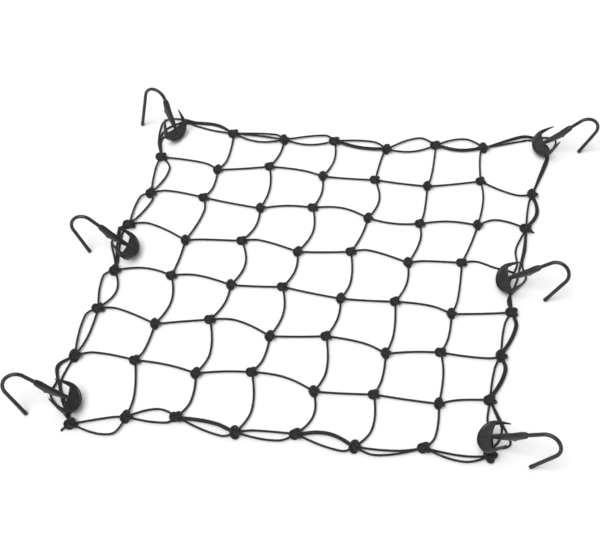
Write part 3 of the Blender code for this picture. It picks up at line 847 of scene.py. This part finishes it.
@dataclass
class HookBody:
    """Moulded body of a hook: a crown with two horns, a web with a rib, and a shank with a socket.

    Along the body X runs from the crown to the wire, Y is sideways and Z is up.

    Args:
        crown_length: Depth of the crown's half ellipse.
        crown_half_width: Half of its width, where the horns begin.
        crown: Its wall.
        horn_root: Wall where a horn begins.
        horn_tip: Wall at its tip.
        horn_tip_place: Where the tip is, along the body and sideways.
        horn_curve: Power of a horn's inward curve.
        web_top: Height of the web.
        web_thickness: Its thickness.
        web_edge_x: Where it ends along the middle.
        web_edge_sweep: How much further it reaches at its sides.
        wire: Diameter of the wire.
        wire_z: Height of its middle.
        socket_gap: Room behind the wire's end.
        lip_gap: Room round the wire in the socket.
        socket_x: Where the bore for the wire ends.
        end_x: Where the body ends.
        voxel: Size of the cells that fuse the body's parts.
        softening: How often its surface is smoothed.
        sharp_angle: Degrees past which an edge is shaded sharp.
        shank_sections: Along the shank: place, width, bottom and top.
    """

    crown_length: float = 14.0
    crown_half_width: float = 16.0
    crown: Wall = Wall(8.0, -2.0, 2.2)
    horn_root: Wall = Wall(7.6, 2.2, 3.2)
    horn_tip: Wall = Wall(7.5, 6.2, 1.2)
    horn_tip_place: Place = (31.0, 11.4)
    horn_curve: float = 1.5
    web_top: float = 6.8
    web_thickness: float = 2.0
    web_edge_x: float = 14.0
    web_edge_sweep: float = 2.0
    wire: float = 3.7
    wire_z: float = 3.8
    socket_gap: float = 0.35
    lip_gap: float = 0.08
    socket_x: float = 40.0
    end_x: float = 47.0
    voxel: float = 0.4
    softening: int = 4
    sharp_angle: float = 50.0
    shank_sections: tuple = (
        (3.5, 1.2, 5.2, 7.2), (6.0, 1.5, 5.0, 8.1), (15.0, 3.0, 2.8, 7.8), (22.0, 4.2, 0.6, 7.5),
        (30.0, 5.0, -1.2, 7.2), (32.4, 4.8, -1.5, 7.1), (33.2, 4.8, -3.6, 7.1), (35.5, 5.2, -1.6, 7.0),
        (41.0, 6.0, 0.2, 6.9), (44.5, 5.8, 0.8, 6.75), (47.3, 4.8, 1.4, 6.2),
    )

    @staticmethod
    def rounded_square(sides: int, power: float) -> tuple[np.ndarray, np.ndarray]:
        """Rounded square from 0 to 1: half plus half of the cosine and sine raised to a power.

        Args:
            sides: Points round the square.
            power: Below 1 for fuller corners, and 1 for a circle.

        Returns:
            The places across and up.
        """
        angle = 2 * np.pi * np.arange(sides) / sides
        wide, tall = np.cos(angle), np.sin(angle)
        return (0.5 + 0.5 * np.sign(wide) * np.abs(wide) ** power,
                0.5 + 0.5 * np.sign(tall) * np.abs(tall) ** power)

    def rim(self) -> Surface:
        """Crown wall with its two horns.

        The outer line is a half ellipse for the crown and a power curve along each horn. The
        wall's top, foot and thickness change evenly from the crown to the horns' roots and tips.

        Returns:
            The wall's skin.
        """
        arc = np.linspace(-np.pi / 2, np.pi / 2, 61)
        middle = np.clip(np.cos(arc), 0.0, 1.0)
        crown = np.column_stack([self.crown_length * (1 - middle), self.crown_half_width * np.sin(arc)])
        inward = np.column_stack([middle * self.crown_half_width, -np.sin(arc) * self.crown_length])
        inward /= np.linalg.norm(inward, axis=1)[:, None]
        t = np.linspace(0, 1, 25)[1:]
        tip_x, tip_y = self.horn_tip_place
        horn_y = self.crown_half_width - (self.crown_half_width - tip_y) * t**self.horn_curve
        horn = np.column_stack([between(self.crown_length, tip_x, t), horn_y])
        flip = np.array((1.0, -1.0))
        outer = np.vstack([(horn * flip)[::-1], crown, horn])
        side = np.tile((0.0, -1.0), (len(t), 1))
        inward = np.vstack([(side * flip)[::-1], inward, side])
        horn_wall = between(self.horn_root, self.horn_tip, t)
        crown_wall = between(self.horn_root, self.crown, middle)
        top, foot, thickness = np.concatenate([horn_wall[::-1], crown_wall, horn_wall]).T
        across, up = self.rounded_square(sides=20, power=0.55)
        plan = outer[:, None, :] + inward[:, None, :] * (thickness[:, None] * across)[:, :, None]
        height = foot[:, None] + (top - foot)[:, None] * up
        return Surface(np.dstack([plan, height]), np.arange(len(outer), dtype=float))

    def web(self) -> Surface:
        """Plate that fills the crown.

        Each cut along the body runs from the half ellipse in the wall's middle to the front edge,
        which sweeps forward as the square of the distance from the middle.

        Returns:
            The plate's skin.
        """
        inset, fill, least_depth = self.crown.thickness / 2, 0.96, 0.6
        half = self.crown_half_width - inset
        y = np.linspace(-fill, fill, 41) * half
        back = self.crown_length - (self.crown_length - inset) * np.sqrt(1 - (y / half) ** 2)
        front = np.maximum(self.web_edge_x + self.web_edge_sweep * (y / half) ** 2, back + least_depth)
        across, up = self.rounded_square(sides=16, power=0.35)
        x = back[:, None] + (front - back)[:, None] * across
        z = self.web_top - self.web_thickness * (1 - up)
        points = np.dstack([x, np.broadcast_to(y[:, None], x.shape), np.broadcast_to(z, x.shape)])
        return Surface(points, np.arange(len(y), dtype=float))

    def shank(self) -> Surface:
        """Tapering bar with round corners through the shank's sections.

        Returns:
            The bar's skin.
        """
        table = np.array(self.shank_sections)
        x = np.linspace(table[0, 0], table[-1, 0], 110)
        width, bottom, top = (np.interp(x, table[:, 0], table[:, k]) for k in (1, 2, 3))
        across, up = self.rounded_square(sides=24, power=0.7)
        y = (across - 0.5) * width[:, None]
        z = bottom[:, None] + (top - bottom)[:, None] * up
        return Surface(np.dstack([np.broadcast_to(x[:, None], y.shape), y, z]), x)

    def mesh(self) -> bpy.types.Mesh:
        """The body in its own frame, fused, softened at its inner corners and bored for the wire.

        Returns:
            The mesh.
        """
        mesh = mesh_of("body_work", [self.rim(), self.web(), self.shank()])
        work = bmesh.new()
        work.from_mesh(mesh)
        bmesh.ops.recalc_face_normals(work, faces=work.faces)
        work.to_mesh(mesh)
        work.free()
        body = linked("body_work", mesh)
        past_end = 3.0
        ends = (self.socket_x, self.end_x + past_end)
        bore_path = np.array([(x, 0.0, self.wire_z) for x in ends])
        hole = tube(bore_path, self.wire / 2 + self.lip_gap, sides=32)
        bore = linked("bore_work", mesh_of("bore_work", [hole]))
        fused = body.modifiers.new("fused", "REMESH")
        fused.mode, fused.voxel_size = "VOXEL", self.voxel * MM
        softened = body.modifiers.new("softened", "SMOOTH")
        softened.factor, softened.iterations = 0.5, self.softening
        bored = body.modifiers.new("bored", "BOOLEAN")
        bored.operation, bored.solver, bored.object = "DIFFERENCE", "EXACT", bore
        made = bpy.data.meshes.new_from_object(body.evaluated_get(bpy.context.evaluated_depsgraph_get()))
        for helper in (body, bore):
            bpy.data.objects.remove(helper)
        return made


@dataclass
class Hook:
    """One hook: its body, its bent wire and how it lies.

    Args:
        name: Name of its place round the net.
        place: Middle of the crown's outside from above.
        yaw: Degrees from +X to the wire.
        lean: Degrees that the body is rolled about its shank.
        twist: Degrees that the wire is turned in its socket.
        run: Where the cords run under it.
        straight: Length of wire before the bend.
        bend: Radius of the bend.
        turn: Degrees of the bend.
        leg: Length of wire after the bend.
        lift: How high the crown is held by what it lies on.
        tip_swell: How much the coating at the tip adds to the radius.
        tip_length: Length over which the coating grows thicker.
        tip_full: Part of that length before the tip where it has its full thickness.
        tip_round: Length of the rounded end past the leg.
    """

    name: str
    place: Place
    yaw: float
    lean: float
    twist: float
    run: CordRun
    straight: float = 12.0
    bend: float = 12.0
    turn: float = 159.0
    leg: float = 29.0
    lift: float = 0.0
    tip_swell: float = 0.2
    tip_length: float = 4.0
    tip_full: float = 0.6
    tip_round: float = 1.2

    def wire_surface(self, body: HookBody) -> Surface:
        """Skin of the bent wire: straight out of the socket, an arc, a straight leg and a round tip.

        Args:
            body: The body that holds it.

        Returns:
            The skin in the body's own frame.
        """
        lead_steps, bend_steps, leg_steps, tip_steps = 12, 48, 15, 7
        tip_room, last_ring = 2.0, 0.05
        start = body.end_x + self.straight
        turn = math.radians(self.turn)
        arc = turn * np.arange(1, bend_steps + 1) / bend_steps
        lead = np.linspace(body.socket_x + body.socket_gap, start, lead_steps)
        x = np.append(lead, start + self.bend * np.sin(arc))
        z = np.append(0 * lead, -self.bend * (1 - np.cos(arc)))
        path = np.column_stack([x, 0 * x, z])
        heading = np.array((math.cos(turn), 0.0, -math.sin(turn)))
        fade = np.linspace(0, np.pi / 2, tip_steps)
        leg = np.linspace(0, self.leg - tip_room, leg_steps + 1)[1:]
        far = np.append(leg, self.leg + self.tip_round * np.sin(fade))
        path = np.vstack([path, path[-1] + heading * far[:, None]])
        to_tip = path_lengths(path)[-1] - path_lengths(path)
        growth = np.clip(1 + self.tip_full - to_tip / self.tip_length, 0.0, 1.0)
        radius = body.wire / 2 + self.tip_swell * growth
        radius[-tip_steps:] *= np.append(np.cos(fade)[:-1], last_ring)
        skin = tube(path, radius, sides=24, reference=SIDEWAYS)
        twist = turn_about(0, math.radians(self.twist))
        skin.points = skin.points @ twist.T + np.array((0.0, 0.0, body.wire_z))
        return skin

    def rotation(self, pitch: float) -> np.ndarray:
        """Matrix that rolls the hook about its shank, raises it at the wire and turns it to its yaw.

        Args:
            pitch: Degrees that the wire's end is raised.

        Returns:
            The matrix.
        """
        lean, rise, yaw = math.radians(self.lean), math.radians(pitch), math.radians(self.yaw)
        return turn_about(2, yaw) @ turn_about(1, -rise) @ turn_about(0, lean)

    def seat(self, body_points: np.ndarray, wire_points: np.ndarray) -> tuple[np.ndarray, np.ndarray]:
        """Find the pitch at which the crown and the wire's tip both rest, by halving its range.

        Args:
            body_points: Points of the body in its own frame.
            wire_points: Points of the wire in the body's frame.

        Returns:
            The rotation matrix and the move that seat the hook.
        """
        low, high, rounds = 0.0, 80.0, 30
        for _ in range(rounds):
            rotation = self.rotation((low + high) / 2)
            body_low = (body_points @ rotation.T)[:, 2].min()
            wire_low = (wire_points @ rotation.T)[:, 2].min()
            if wire_low < body_low - self.lift:
                low = (low + high) / 2
            else:
                high = (low + high) / 2
        return rotation, np.array((*self.place, self.lift - body_low)) + SHIFT

    def build(self, body: HookBody, shape: bpy.types.Mesh, plastic: bpy.types.Material,
              coating: bpy.types.Material) -> None:
        """Make the hook's two pieces in place.

        Args:
            body: Sizes of the body.
            shape: The finished body in its own frame.
            plastic: Material of the body.
            coating: Material of the wire.
        """
        points = np.empty(len(shape.vertices) * 3)
        shape.vertices.foreach_get("co", points)
        points = points.reshape(-1, 3) / MM
        wire = self.wire_surface(body)
        rotation, move = self.seat(points, wire.points.reshape(-1, 3))
        shell = shape.copy()
        shell.vertices.foreach_set("co", ((points @ rotation.T + move) * MM).reshape(-1))
        shell.update()
        shell.shade_smooth()
        shell.set_sharp_from_angle(angle=math.radians(body.sharp_angle))
        show(f"shell_{self.name}", shell, plastic, "hook_plastic", f"hook_body_{self.name}")
        wire.points = wire.points @ rotation.T + move
        show(f"bar_{self.name}", mesh_of(f"bar_{self.name}", [wire]), coating, "wire_coating",
             f"hook_wire_{self.name}")


HOOKS = (
    Hook("far_left", place=(-186.5, 170.5), yaw=140, lean=14, twist=8, run=CordRun(
        "T1", "A0", (((-150, 190), (4, 8)), ((-171, 194), (-1, 3)), ((-180, 196), (-1, 3))),
        under=((-197, 173), (-3, 9)), corner=(-205, 195), join=(-201, 163)),
        straight=0.5, bend=13.4, turn=152, leg=42),
    Hook("far_right", place=(207, 224), yaw=17, lean=9, twist=-18, run=CordRun(
        "T6", "A7", (((189, 236), (0, 6)), ((202, 240), (1, 3))),
        under=((215, 227), (5, 5)), corner=(228, 245), join=(221, 212))),
    Hook("mid_left", place=(-183.5, -4), yaw=175.5, lean=4, twist=10, run=CordRun(
        "C0", "D0", (((-204, 28), (-4, 0)), ((-204, 17), (-2, 0))),
        under=((-202, 2), (-3, 1)), corner=(-212, 8), join=(-198, -16))),
    Hook("mid_right", place=(183, 25.5), yaw=6.5, lean=13, twist=-41, run=CordRun(
        "B7", "D7", (((196, 75), (8, 2)), ((199, 54), (3, 0))),
        under=((193, 29), (7, 2)), corner=(209, 37), join=(196, 10))),
    Hook("near_left", place=(-184.5, -192.5), yaw=182, lean=2, twist=25, run=CordRun(
        "F0", "Z0", (((-207, -152), (-9, 0)), ((-208, -171), (-2, 1))),
        under=((-197, -191), (-3, 1)), corner=(-213, -186), join=(-189, -204))),
    Hook("near_right", place=(181.5, -163), yaw=-7, lean=5, twist=-23, run=CordRun(
        "F7", "Z7", (((186, -138), (10, 2)), ((190, -147), (10, 3))),
        under=((192, -158), (6, -1)), corner=(209, -161), join=(193, -168)),
        straight=15, lift=4.5),
)
# The row C cord that ends on the first cord under the hook at the middle of the right side.
HOOK_END_ROUTE = [(158, 52), (177, 47), (188, 46), (196, 44)]


# ---- studio ----
@dataclass
class Studio:
    """Pale floor, soft light and the camera.

    Args:
        target: Where the camera looks.
        azimuth: Degrees that the camera stands round to the right.
        elevation: Degrees that it looks down.
        distance: From the target to the camera in metres.
        lens: Focal length in millimetres.
        floor_colour: Colour of the floor.
        floor_side: Half of the floor's side in metres.
        tent: Height and brightness at the tent's pale foot and where its dark top begins.
        daylight_power: Strength of the even light in watts per square metre.
        daylight_width: Width of its disc in degrees.
        daylight_tilt: Degrees that it is tilted towards the near border and to the left.
        rim_place: Where the weak light behind the net hangs in metres.
        rim_side: Its side in metres.
        rim_power: Its power in watts.
    """

    target: tuple[float, float, float] = (-12.7, -4.55, 0.0)
    azimuth: float = 10.8
    elevation: float = 50.0
    distance: float = 1.2
    lens: float = 72.0
    floor_colour: Colour = (0.93, 0.93, 0.93)
    floor_side: float = 6.0
    tent: tuple[Place, Place] = ((0.15, 1.0), (0.5, 0.35))
    daylight_power: float = 2.4
    daylight_width: float = 50.0
    daylight_tilt: tuple[float, float] = (21.0, -16.0)
    rim_place: tuple[float, float, float] = (-0.9, 0.9, 1.4)
    rim_side: float = 1.2
    rim_power: float = 4.0

    def camera(self) -> None:
        """Place the camera level, looking at the target."""
        az, el = math.radians(self.azimuth), math.radians(self.elevation)
        target = (np.array(self.target) + SHIFT) * MM
        back = np.array((math.sin(az) * math.cos(el), -math.cos(az) * math.cos(el), math.sin(el)))
        lens = bpy.data.cameras.new("camera")
        lens.lens, lens.sensor_width, lens.clip_end = self.lens, 36.0, 50.0
        camera = linked("camera", lens)
        camera.location = target + back * self.distance
        camera.rotation_euler = (math.pi / 2 - el, 0.0, az)
        bpy.context.scene.camera = camera

    def rim_light(self) -> None:
        """Add one weak square softbox behind the net, which faces the net's middle."""
        box = bpy.data.lights.new("rim_light", "AREA")
        box.size, box.energy = self.rim_side, self.rim_power
        lamp = linked("rim_light", box)
        lamp.location = self.rim_place
        x, y, z = self.rim_place
        lamp.rotation_euler = (math.atan2(math.hypot(x, y), z), 0.0, math.atan2(x, -y))

    def daylight(self) -> None:
        """Even light over the whole floor, from a wide disc high over the net's near left side."""
        sky = bpy.data.lights.new("daylight", "SUN")
        sky.energy, sky.angle = self.daylight_power, math.radians(self.daylight_width)
        lamp = linked("daylight", sky)
        forward, aside = self.daylight_tilt
        lamp.rotation_euler = (math.radians(forward), math.radians(aside), 0.0)

    def floor(self) -> None:
        """Lay a wide matte floor under the net."""
        side = self.floor_side
        corners = [(-side, -side, 0), (side, -side, 0), (side, side, 0), (-side, side, 0)]
        mesh = bpy.data.meshes.new("floor")
        mesh.from_pydata(corners, [], [(0, 1, 2, 3)])
        nodes = Nodes("pale_floor")
        nodes.set("Base Color", (*self.floor_colour, 1.0))
        nodes.set("Roughness", 0.9)
        mesh.materials.append(nodes.material)
        linked("floor", mesh)

    def surroundings(self) -> None:
        """White light tent that is pale at the horizon and darker overhead."""
        world = bpy.data.worlds.new("surroundings")
        world.use_nodes = True
        tree = world.node_tree
        place = tree.nodes.new("ShaderNodeTexCoord")
        split = tree.nodes.new("ShaderNodeSeparateXYZ")
        shade = tree.nodes.new("ShaderNodeValToRGB")
        tree.links.new(place.outputs["Generated"], split.inputs[0])
        tree.links.new(split.outputs["Z"], shade.inputs[0])
        tree.links.new(shade.outputs[0], tree.nodes["Background"].inputs["Color"])
        for element, (height, level) in zip(shade.color_ramp.elements, self.tent):
            element.position, element.color = height, (level, level, level, 1.0)
        bpy.context.scene.world = world

    def build(self) -> None:
        """Set up the floor, the lights, the surroundings and the camera."""
        self.floor()
        self.daylight()
        self.rim_light()
        self.surroundings()
        bpy.context.scene.view_settings.view_transform = "Standard"
        self.camera()


def main() -> None:
    """Build the studio, the net and the hooks."""
    logging.basicConfig(level=logging.INFO, format="%(name)s: %(message)s")
    Studio().build()
    cord = BraidFinish().material("braided_cord")
    plastic = PlasticFinish().material("satin_plastic")
    coating = PlasticFinish(
        base=(0.012, 0.012, 0.0125), scuffed=(0.022, 0.022, 0.0227), roughness=0.27, grain=900.0,
        depth=0.00002).material("coated_wire")
    net = Net()
    hook_cords = [net.routed("C6", HOOK_END_ROUTE, None, net.rest)]
    for hook in HOOKS:
        hook_cords += hook.run.cords(net)
    net.build(hook_cords, cord)
    body = HookBody()
    shape = body.mesh()
    for hook in HOOKS:
        hook.build(body, shape, plastic, coating)
    bpy.data.meshes.remove(shape)


if __name__ == "__main__":
    main()
